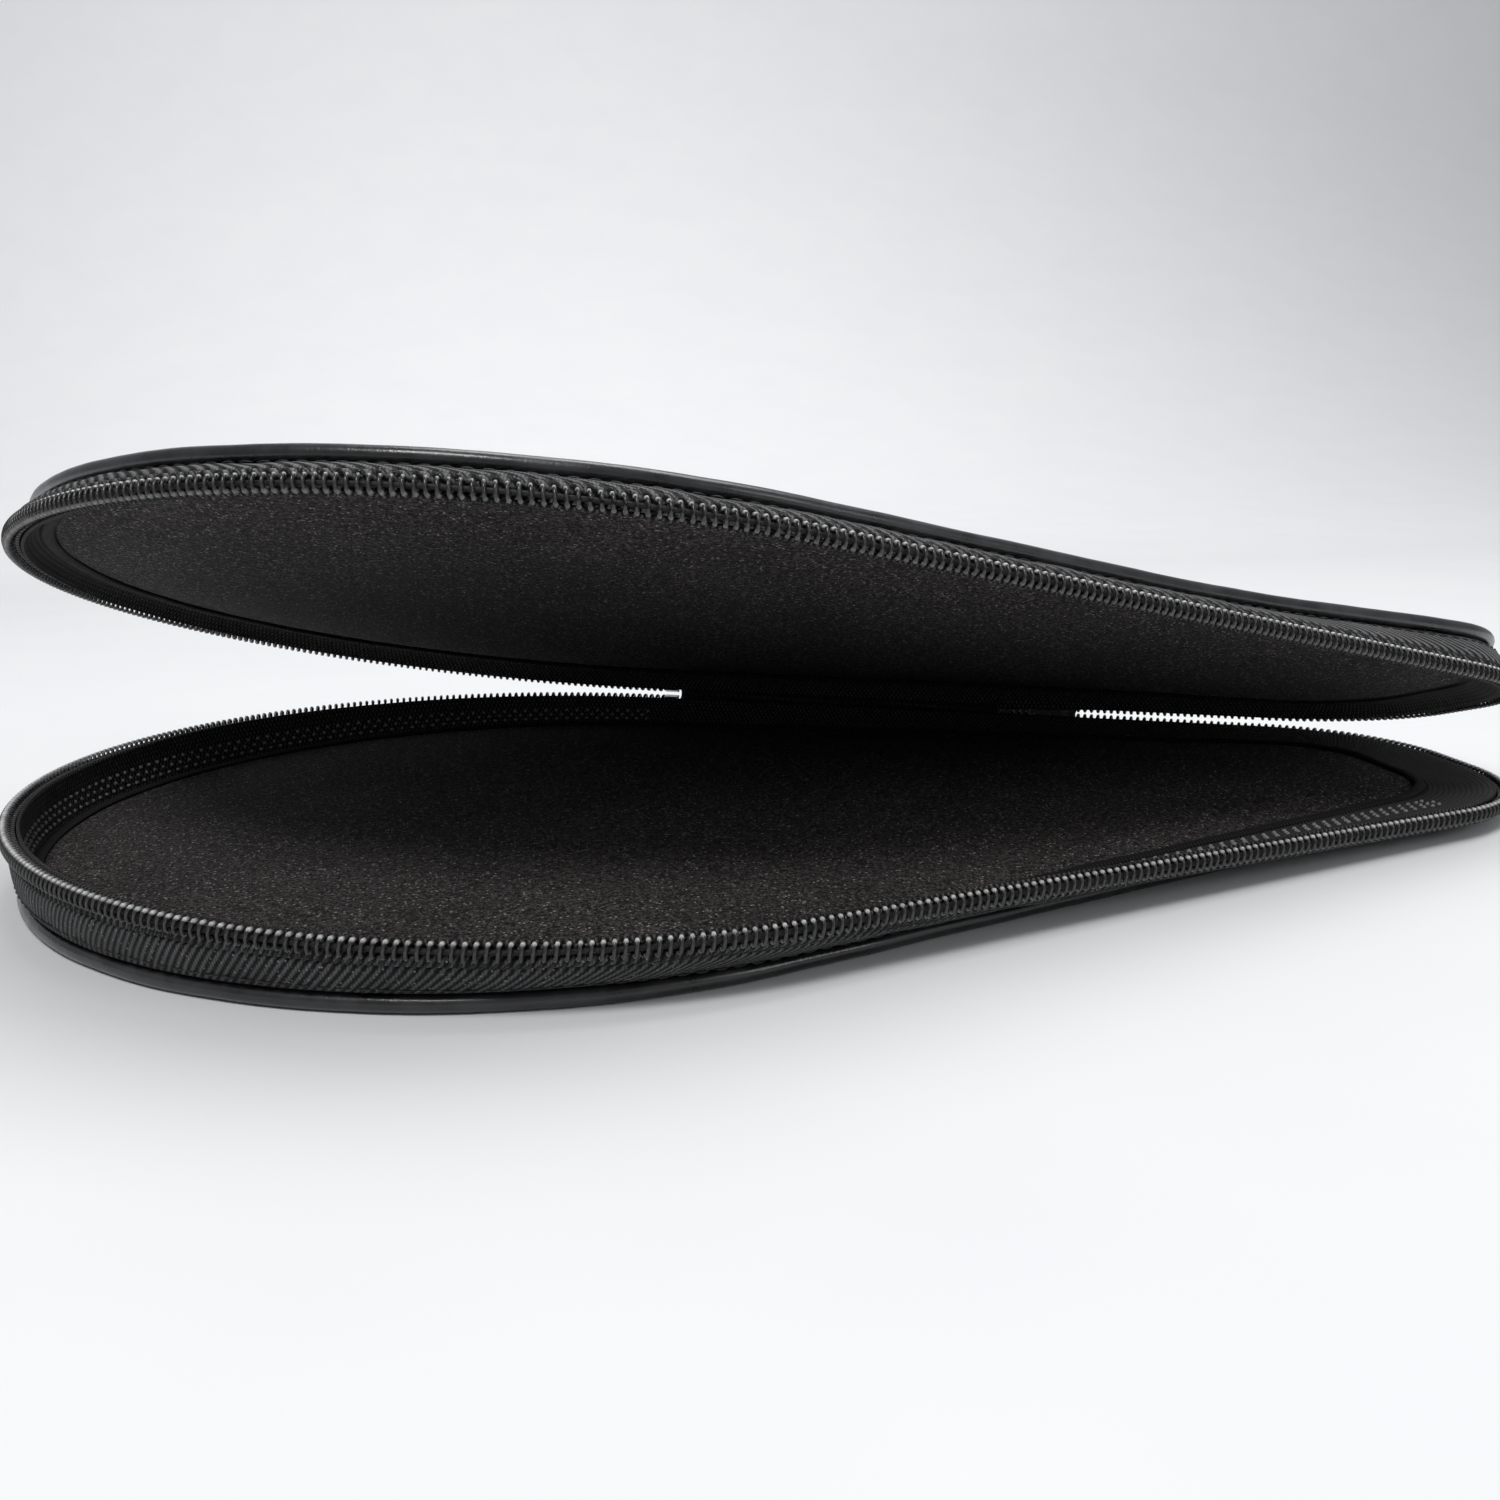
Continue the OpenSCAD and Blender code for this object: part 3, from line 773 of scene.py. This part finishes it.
def piping_vinyl():
    """Soft vinyl over a cord: fine leather grain, with a few rubbed places."""
    p = Paint("piping_vinyl", 0.32, specular=0.6, coat=0.2)
    grain = p.cells(p.place(), 2.6, "SMOOTH_F1")
    rub = p.noise(p.place(), 0.12, 3, 0.6)
    crease = p.noise(p.flow(), 0.5, 3, 0.6, (2.2, 0.4, 1))
    height = p.math("ADD", p.math("MULTIPLY", grain, 0.6), crease)
    colour = p.colour((0.008, 0.008, 0.0085), (0.03, 0.03, 0.032), p.band(rub, 0.35, 0.75))
    return p.finish(colour, height, 0.04, p.band(rub, 0.3, 0.75, 0.24, 0.42))


def brushed_lining():
    """Brushed knit: a soft brownish black pile, with painted glints as bright specks on the fibre ends."""
    p = Paint("brushed_lining", 0.9, specular=0.12, sheen=0.03, sheen_roughness=0.5)
    pile = p.noise(p.place(), 1.5, 4, 0.8)
    fine = p.noise(p.place(), 3.6, 2, 0.7)
    blotch = p.noise(p.place(), 0.05, 3, 0.5)
    # Painted glints: bright specks painted into the colour where fibre ends would catch the light.
    ends = p.band(p.cells(p.place(), 1.25), 0.12, 0.34, 1.0, 0.0)
    glint_share = p.band(p.noise(p.place(), 0.8, 2, 0.6), 0.46, 0.6)
    height = p.math("ADD", pile, p.math("MULTIPLY", fine, 0.5))
    tone = p.math("MULTIPLY", p.band(height, 0.66, 0.95), p.band(blotch, 0.3, 0.7, 0.75, 1.0))
    colour = p.colour((0.005, 0.0044, 0.0044), (0.165, 0.147, 0.142), tone)
    colour = p.colour(colour, (0.6, 0.56, 0.55), p.math("MULTIPLY", p.math("MULTIPLY", ends, glint_share), 0.8))
    return p.finish(colour, height, 0.5, p.band(fine, 0.3, 0.7, 0.8, 0.95))


def knitted_mesh():
    """Knitted mesh: columns of small loops with holes between, dark in the holes as the knit's own pattern,
    and paler on the loops' tops as a painted highlight.
    """
    p = Paint("knitted_mesh", 0.85, specular=0.15, sheen=0.04, sheen_roughness=0.5)
    x, y = p.split(p.flow())
    rows = p.wave(p.math("ADD", x, p.math("MULTIPLY", y, 0.5)), 1.0)
    columns = p.wave(p.math("SUBTRACT", x, p.math("MULTIPLY", y, 0.5)), 1.0)
    fine = p.noise(p.place(), 4.5, 3, 0.65)
    loops = p.math("MULTIPLY", p.math("MULTIPLY", rows, columns), 0.9)
    height = p.math("ADD", loops, p.math("MULTIPLY", fine, 0.6))
    # Tone by height: the dark in the holes is the knit's pattern, and the loops' paler tops are a painted
    # highlight.
    tone = p.band(height, 0.2, 1.1)
    colour = p.colour((0.004, 0.0038, 0.0038), (0.11, 0.104, 0.10), tone)
    return p.finish(colour, height, 0.35, p.band(fine, 0.3, 0.7, 0.72, 0.92))


def knit_loops_painted_highlight():
    """The raised loops, coloured pale all over as a painted highlight."""
    p = Paint("knit_loops_painted_highlight", 0.65, specular=0.35, sheen=0.1, sheen_roughness=0.4)
    fine = p.noise(p.place(), 5.0, 3, 0.65)
    # Painted highlight: the loops are far paler than the dark mesh under them.
    colour = p.colour((0.10, 0.096, 0.094), (0.42, 0.40, 0.39), p.band(fine, 0.3, 0.7))
    return p.finish(colour, fine, 0.2)


def grosgrain():
    """Binding tape with fine ribs across it."""
    p = Paint("grosgrain", 0.75, specular=0.15, sheen=0.02)
    along, _ = p.split(p.flow())
    rib = p.wave(along, 0.8)
    fine = p.noise(p.place(), 4.0, 2, 0.6)
    height = p.math("ADD", rib, p.math("MULTIPLY", fine, 0.4))
    colour = p.colour((0.003, 0.003, 0.003), (0.02, 0.02, 0.021), p.band(height, 0.3, 1.3))
    return p.finish(colour, height, 0.15, p.band(fine, 0.3, 0.7, 0.6, 0.8))


def enamel():
    """Black enamel on die-cast metal, with bright metal where edges are rubbed."""
    p = Paint("enamel", 0.3, specular=0.6, coat=0.3)
    point = p.tree.nodes.new("ShaderNodeNewGeometry").outputs["Pointiness"]
    nicks = p.noise(p.place(), 1.4, 4, 0.7)
    worn = p.math("MULTIPLY", p.band(point, 0.56, 0.64), p.band(nicks, 0.55, 0.66))
    peel = p.noise(p.place(), 2.2, 2, 0.5)
    colour = p.colour((0.012, 0.012, 0.013), (0.022, 0.022, 0.024), peel)
    colour = p.colour(colour, (0.3, 0.29, 0.28), worn)
    p.feed(p.shader.inputs["Metallic"], worn)
    return p.finish(colour, peel, 0.04, p.band(nicks, 0.3, 0.7, 0.24, 0.42))


def moulded_rubber():
    """Black moulded rubber with a fine grain and a little dust."""
    p = Paint("moulded_rubber", 0.6, specular=0.4)
    grain = p.noise(p.place(), 6.0, 3, 0.6)
    dust = p.noise(p.place(), 0.5, 3, 0.6)
    colour = p.colour((0.008, 0.008, 0.008), (0.024, 0.024, 0.025), p.band(dust, 0.4, 0.75))
    return p.finish(colour, grain, 0.06, p.band(dust, 0.3, 0.7, 0.5, 0.7))


def grey_board():
    """Pressed grey board, inside the case."""
    p = Paint("grey_board", 0.9, specular=0.2)
    fibres = p.noise(p.place(), 0.9, 4, 0.7, (1, 4, 1))
    colour = p.colour((0.11, 0.095, 0.08), (0.24, 0.21, 0.18), fibres)
    return p.finish(colour, fibres, 0.1)


def foam_cells():
    """Open-celled grey foam, inside the case."""
    p = Paint("foam_cells", 0.95, specular=0.15)
    cells = p.cells(p.place(), 1.4)
    colour = p.colour((0.12, 0.12, 0.125), (0.34, 0.34, 0.35), p.band(cells, 0.1, 0.6))
    return p.finish(colour, cells, 0.25)


def studio_floor():
    """Matt pale card."""
    p = Paint("studio_floor", 0.85, specular=0.2)
    tone = p.noise(p.place(), 0.02, 2, 0.5)
    return p.finish(p.colour((0.79, 0.80, 0.81), (0.83, 0.835, 0.84), tone))


COVER = woven_cover("woven_cover", True)
SPINE = woven_cover("woven_spine", False)
TAPE = zip_tape("base", 48, 1.05, 0.12)
# The lid's tape is the same tape as the base's, with paler ribs (0.21 against 0.12) as painted light.
LID_TAPE = zip_tape("lid", 30, 1.2, 0.21)
COIL = nylon_coil()
THREAD = sewing_thread()
PIPING = piping_vinyl()
LINING = brushed_lining()
MESH = knitted_mesh()
LOOP_HIGHLIGHT = knit_loops_painted_highlight()
BINDING = grosgrain()
ENAMEL = enamel()
RUBBER = moulded_rubber()
BOARD = grey_board()
FOAM = foam_cells()


def dress(ob, material, body, slot, *nodes):
    """Gives a piece its material and body, and the CAD nodes it stands for. A blend has no body. The slot is
    not used.
    """
    ob.data.materials.clear()
    ob.data.materials.append(material)
    if body:
        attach(ob, body)
    if nodes:
        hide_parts(*nodes)
    return ob


def dress_node(name, material, bevel=0.0):
    """Gives a CAD node that is kept its material, and rounds its edges."""
    ob = frame["nodes"][name]
    ob.data.materials.clear()
    ob.data.materials.append(material)
    if bevel:
        add_bevel(ob, bevel)


# ------------------------------------------------------------------ pieces of both halves

TAIL_S = spine_s(TAIL_Q)
HEAD_S = -4.6  # where the zipper tapes begin, under the top stops and the spine strip's end
ROUND_STEP = 1.25
FINE_STEP = 0.75


def edge_stations(s0, s1, step):
    """Lengths from s0 to s1, about a step apart."""
    return np.linspace(s0, s1, int(round((s1 - s0) / step)) + 1)


def piping(side, node):
    """The vinyl bead round the cover's edge, a little uneven in place and thickness."""
    s = np.arange(0, EDGE_LEN, ROUND_STEP)
    x = edge(s)[0][:, 0]
    gap = 0.05
    u = -side.inset(x) - PIPING_R - gap + 0.12 * wander(s, 2)
    z = side.edge_z(x) + side.up * (PIPING_R + gap * (1 + wander(s, 3)))
    r = PIPING_R * (1 + 0.015 * wander(s, 5, (7.0, 12.0, 19.0)))
    ob = tube(side.name + "_piping_tube", side.points(s, u, z), r, sides=16, closed=True, lengths=s)
    return dress(ob, PIPING, side.name, "piping_vinyl", node)


def binding(side, node):
    """The folded tape that binds the seam, in the corner inside the case."""
    s = np.arange(0, EDGE_LEN, ROUND_STEP)
    x = edge(s)[0][:, 0]
    u = -side.inset(x) - 3.4 + 0.15 * wander(s, 6)
    z = side.panel_z(x) + side.up * (4.9 + 0.1 * wander(s, 7))
    name = side.name + "_binding_tape"
    ob = tube(name, side.points(s, u, z), 1.1, sides=12, flat=0.5, closed=True, lengths=s)
    return dress(ob, BINDING, side.name, "binding_tape", node)


def body_of(side):
    return None if isinstance(side, Tail) else side.name


def tape(side, material, s0, s1, nodes=(), name="tape"):
    """The zipper tape, with closer points at the crease below the coil."""
    w = np.concatenate([np.linspace(0.0, 0.76, 12), np.linspace(0.79, 1.0, 8), np.linspace(1.06, 2, 10)])
    s = edge_stations(s0, s1, FINE_STEP)
    ob = wall_strip(side.name + "_" + name, side, s, w, 0.35, -0.35, tail_shift(s), sag=0.16)
    return dress(ob, material, body_of(side), "zip_tape", *nodes)


def wall_mesh(side, s0, s1, nodes=(), name="wall_mesh"):
    """The knitted lining of the wall."""
    s = edge_stations(s0, s1, 1.0)
    ob = wall_strip(side.name + "_" + name, side, s, np.linspace(0, 1, 14), 0, -0.55, sag=0.12)
    return dress(ob, MESH, body_of(side), "mesh_lining", *nodes)


def raised_loops(side, end):
    """Three staggered rows of raised knit loops along the wall's lining, from the spine to end."""
    rings = [(0.0, 1.0), (0.5, 0.87), (0.87, 0.5), (1.0, 0.05)]  # each one's height and share of the width
    sides = 7
    half_long, half_wide = 0.46, 0.4
    a = np.linspace(0, 2 * math.pi, sides, endpoint=False)
    margin = 3
    blocks = []
    for row in range(3):
        count = int((end - 2 * margin) / LOOP_PITCH)
        s = margin + LOOP_PITCH * (np.arange(count) + 0.5 * (row % 2))
        x = edge(s)[0][:, 0]
        w = 0.52 - 0.15 * row
        u, z = side.lining(x, w)
        low_u, low_z = side.lining(x, w - 0.05)
        foot = side.points(s, low_u, low_z)
        length = np.hypot(u - low_u, z - low_z)
        in_u, in_z = -side.up * (z - low_z) / length, side.up * (u - low_u) / length
        middle = side.points(s, u + 0.5 * in_u, z + 0.5 * in_z)
        inward = side.points(s, u + 1.5 * in_u, z + 1.5 * in_z) - middle
        down = foot - side.points(s, u, z)
        down /= np.linalg.norm(down, axis=1)[:, None]
        along = np.cross(inward, down)
        oval = half_long * along[:, None] * np.cos(a)[None, :, None]
        oval = oval + half_wide * down[:, None] * np.sin(a)[None, :, None]
        ring_points = []
        for height, reach in rings:
            ring_points.append(middle[:, None] + reach * oval + 0.5 * height * inward[:, None])
        blocks.append(np.concatenate(ring_points, 1))
    ob = many(side.name + "_wall_loops", np.concatenate(blocks), len(rings), sides)
    return dress(ob, LOOP_HIGHLIGHT, side.name, "mesh_lining")


def zipper(side, s0, s1, phase, nodes=(), name="coil"):
    """The coil, the cord through it and the thread that sews it to the tape."""
    made = [coil(side.name + "_" + name, side, s0, s1, phase, tail_shift)]
    dress(made[0], COIL, body_of(side), "zip_coil", *nodes)
    s = edge_stations(s0, s1, FINE_STEP)
    x = edge(s)[0][:, 0]
    path = side.points(s, COIL_MID_U + tail_shift(s), side.rim(x) - side.up * COIL_MID_Z)
    made.append(tube(side.name + "_" + name + "_core", path, 0.42, sides=6, lengths=s))
    row = side.name + "_" + name + "_stitches"
    made.append(stitch_row(row, side, s0, s1, COIL_PITCH, 1.15, 0.83, 1.02, 0.42, 0.24, tail_shift))
    for ob in made[1:]:
        dress(ob, THREAD, body_of(side), "zip_tape")
    return made


def seam_stitches(side, s0, s1, name="seam_stitches"):
    """The stitches that hold the tape beside the piping."""
    row = stitch_row(side.name + "_" + name, side, s0, s1, 3.0, 2.3, 0.19, 0.19, 0.36, 0.17, tail_shift)
    return dress(row, THREAD, body_of(side), "zip_tape")


def lid_tail():
    """The lid's zipper from the end corner to the slider and the joined end, bent by the hinge."""
    made = [
        tape(LID_TAIL, LID_TAPE, ZIP_LEN, TAIL_S + 1.2, name="tail_tape"),
        wall_mesh(LID_TAIL, ZIP_LEN, TAIL_S, name="tail_lining"),
        seam_stitches(LID_TAIL, ZIP_LEN, TAIL_S, name="tail_seam"),
    ]
    made += zipper(LID_TAIL, ZIP_LEN, TAIL_S - 1, math.pi, nodes=["joined_chain"], name="tail_coil")
    for ob in made:
        LID_TAIL.blend(ob)


# ------------------------------------------------------------------ spine


def spine_half(side, x, shares):
    """u and height over the rim's plane, from the wall's foot to its top and round to the fold's tip."""
    u, z = side.wall(x[:, None], shares[None, :], SPINE_RISE)
    z = z - side.rim(x)[:, None]
    a = np.linspace(0, math.pi / 2, 9)[1:]
    fold_u = u[:, -1:] + (HINGE_OFF + 0.7 - u[:, -1:]) * np.sin(a)[None, :]
    fold_z = z[:, -1:] * np.cos(a)[None, :]
    return np.concatenate([u, fold_u], 1), np.concatenate([z, fold_z], 1)


def softened(values):
    """Rows of values with their corners rounded."""
    for _ in range(2):
        values[:, 1:-1] = (values[:, :-2] + 2 * values[:, 1:-1] + values[:, 2:]) / 4
    return values


def spine_strip():
    """One strip of cover fabric, from the base's piping up, round the fold and down to the lid's piping."""
    q = np.linspace(3.9, TAIL_Q - 0.4, 60)
    s = spine_s(q)
    x = edge(s)[0][:, 0]
    shares = np.linspace(0, 1, 12)
    base_u, base_z = spine_half(BASE, x, shares)
    lid_u, lid_z = spine_half(LID, x, shares)
    u = softened(np.concatenate([base_u, lid_u[:, -2::-1]], 1))
    z = softened(np.concatenate([base_z, lid_z[:, -2::-1]], 1))
    count = base_u.shape[1]
    share = smooth(np.arange(u.shape[1]), len(shares) - 1, 2 * count - len(shares) - 1)
    du, dz = np.gradient(u, axis=1), np.gradient(z, axis=1)
    length = np.hypot(du, dz)
    across = np.cumsum(length, 1)
    waves = 0.12 * wander(q, 8)[:, None] * np.ones_like(u)
    sides = [(u + dz / length * t, z - du / length * t) for t in (1.05 + waves, 0.42 + waves)]
    u = np.concatenate([sides[0][0], sides[1][0][:, ::-1]], 1)
    z = np.concatenate([sides[0][1], sides[1][1][:, ::-1]], 1)
    across = np.concatenate([across, across[:, ::-1]], 1)
    turn = np.tile(LID_OPEN * np.concatenate([share, share[::-1]]), (len(q), 1))
    along = np.repeat(s, u.shape[1])
    points = turned(along, u.ravel(), z.ravel(), turn.ravel())
    faces = grid_faces(*u.shape, wrap_cols=True).tolist() + end_caps(*u.shape)
    ob = outward(mesh_object("spine_strip", points, faces, np.stack([along, across.ravel()], 1)))
    dress(ob, SPINE, None, "cover_fabric", "base_spine_panel", "lid_spine_panel", "spine_fold")
    lean = LID_OPEN / 2
    way = np.array([*(NORMAL * math.sin(lean)), math.cos(lean)])
    way = np.array(RIM_FRAME)[:3, :3] @ way
    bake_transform(ob)
    for side in (BASE, LID):
        wall_mesh(side, spine_s(TAIL_Q), spine_s(4.6), name="spine_lining")


def lining(side, node):
    """The padded lining on the panel, with its edge drawn in by the seam."""
    dome = 1.1

    def face(d):
        return 4.85 + dome * smooth(d, 0, 12) - 0.45 * (1 - smooth(d, 0, 2.2))

    ob = panel(side.name + "_lining_pad", side, 3.2, lambda d: 4.15 + 0 * d, face)
    top = 4.5

    def free(p):
        z = p[:, 2] if side.is_base else placed(p, LID_FRAME.inverted())[:, 2]
        return side.up * (z - (0 if side.is_base else LID_H)) > top

    puffed(ob, free, 3.0, 1.3)
    add_subdivision(ob)
    dress(ob, LINING, side.name, "lining_fleece", node)
    return ob


def cover(side, node):
    """The outer cover: flat under the base and gently filled out on the lid."""
    filled = 0.0 if side.is_base else -1.6

    def outer(d):
        return 1.25 * (1 - smooth(d, 0, 2.6)) ** 1.5 + 0.06 + filled * smooth(d, 2, 40)

    ob = panel(side.name + "_cover", side, 2.2, outer, lambda d: outer(d) + 0.85, lift=1.0)
    if not side.is_base:
        flat = LID_FRAME.inverted()
        puffed(ob, lambda p: placed(p, flat)[:, 2] > LID_H - 0.5, 3.0, 1.5)
    add_subdivision(ob)
    dress(ob, COVER, side.name, "cover_fabric", node)
    return ob


for half, tape_paint in ((BASE, TAPE), (LID, LID_TAPE)):
    zip_end = TAIL_S if half.is_base else ZIP_LEN
    cover(half, half.name + "_outer_cover")
    lining(half, half.name + "_lining")
    piping(half, half.name + "_piping")
    binding(half, half.name + "_seam_binding")
    tape(half, tape_paint, HEAD_S, zip_end + (1.2 if half.is_base else 0), [half.name + "_zip_tape"])
    wall_mesh(half, HEAD_S, zip_end, [half.name + "_wall_lining"])
    zipper(half, -0.2, zip_end, 0 if half.is_base else math.pi, [half.name + "_zip_coil"])
    seam_stitches(half, HEAD_S, zip_end)
    dress_node(half.name + "_stiffener_board", BOARD)
    dress_node(half.name + "_foam_pad", FOAM)
    dress_node(half.name + "_top_stop", ENAMEL, bevel=0.35)

raised_loops(BASE, HEAD_ARC + SPINE_LEN + CORNER_ARC / 4)
lid_tail()
spine_strip()

for name in ("bottom_stop", "slider_body", "pull_lever"):
    dress_node(name, ENAMEL, bevel=0.3)
dress_node("pull_grip", RUBBER, bevel=0.5)


# ------------------------------------------------------------------ floor, light and camera


def studio():
    """A pale floor that sweeps up into a backdrop, just under the case."""
    reach, back, radius, top, steps = 3.0, 0.7, 1.3, 3.0, 24
    below = 0.00005
    a = np.linspace(0, math.pi / 2, steps)
    line = [(-reach, 0.0)] + [(back + radius * math.sin(t), radius * (1 - math.cos(t))) for t in a]
    line.append((back + radius, top))
    points = np.array([(x, y, z - below) for y, z in line for x in (-reach, reach)]) / MM
    floor = mesh_object("studio_floor", points, grid_faces(len(line), 2))
    floor.data.materials.append(studio_floor())


def soft_light(name, place, aim, size, power):
    """A rectangular light at a place, turned to its aim. Metres and watts."""
    data = bpy.data.lights.new(name, "AREA")
    data.shape = "RECTANGLE"
    data.size, data.size_y = size
    data.energy = power
    ob = bpy.data.objects.new(name, data)
    bpy.context.scene.collection.objects.link(ob)
    ob.location = place
    ob.rotation_euler = (Vector(aim) - Vector(place)).to_track_quat("-Z", "Y").to_euler()


def camera():
    """The photographer's view: low, from the open side, a little left of the case's middle."""
    data = bpy.data.cameras.new("camera")
    data.sensor_width = 36
    data.lens = 38.53
    data.clip_start, data.clip_end = 0.01, 20
    ob = bpy.data.objects.new("camera", data)
    bpy.context.scene.collection.objects.link(ob)
    yaw, pitch, roll = math.radians(9.604), math.radians(12.446), -0.0154
    place = (-0.01179, -0.29461, 0.08091)
    ahead = Vector((math.sin(yaw) * math.cos(pitch), math.cos(yaw) * math.cos(pitch), -math.sin(pitch)))
    level = Vector((math.cos(yaw), -math.sin(yaw), 0))
    up = level.cross(ahead)
    right = level * math.cos(roll) + up * math.sin(roll)
    top = up * math.cos(roll) - level * math.sin(roll)
    turn = Matrix((right, top, -ahead)).transposed().to_4x4()
    ob.matrix_world = Matrix.Translation(place) @ turn
    bpy.context.scene.camera = ob


studio()
middle = (0.05, 0, 0.02)
soft_light("key", (-0.3, -0.6, 1.0), middle, (0.4, 0.3), 6.5)
soft_light("top", (0.25, 0.3, 1.0), middle, (0.9, 0.5), 6.5)
soft_light("fill", (0.8, -0.7, 0.5), middle, (0.35, 0.35), 1.2)
soft_light("back", (0.1, 0.5, 1.0), (0.1, 2.2, 0.9), (1.2, 0.5), 11)
world = bpy.data.worlds.new("studio")
world.use_nodes = True
background = world.node_tree.nodes["Background"]
background.inputs["Color"].default_value = (0.93, 0.96, 1.0, 1)
background.inputs["Strength"].default_value = 0.3
bpy.context.scene.world = world
bpy.context.scene.view_settings.view_transform = "Standard"
camera()
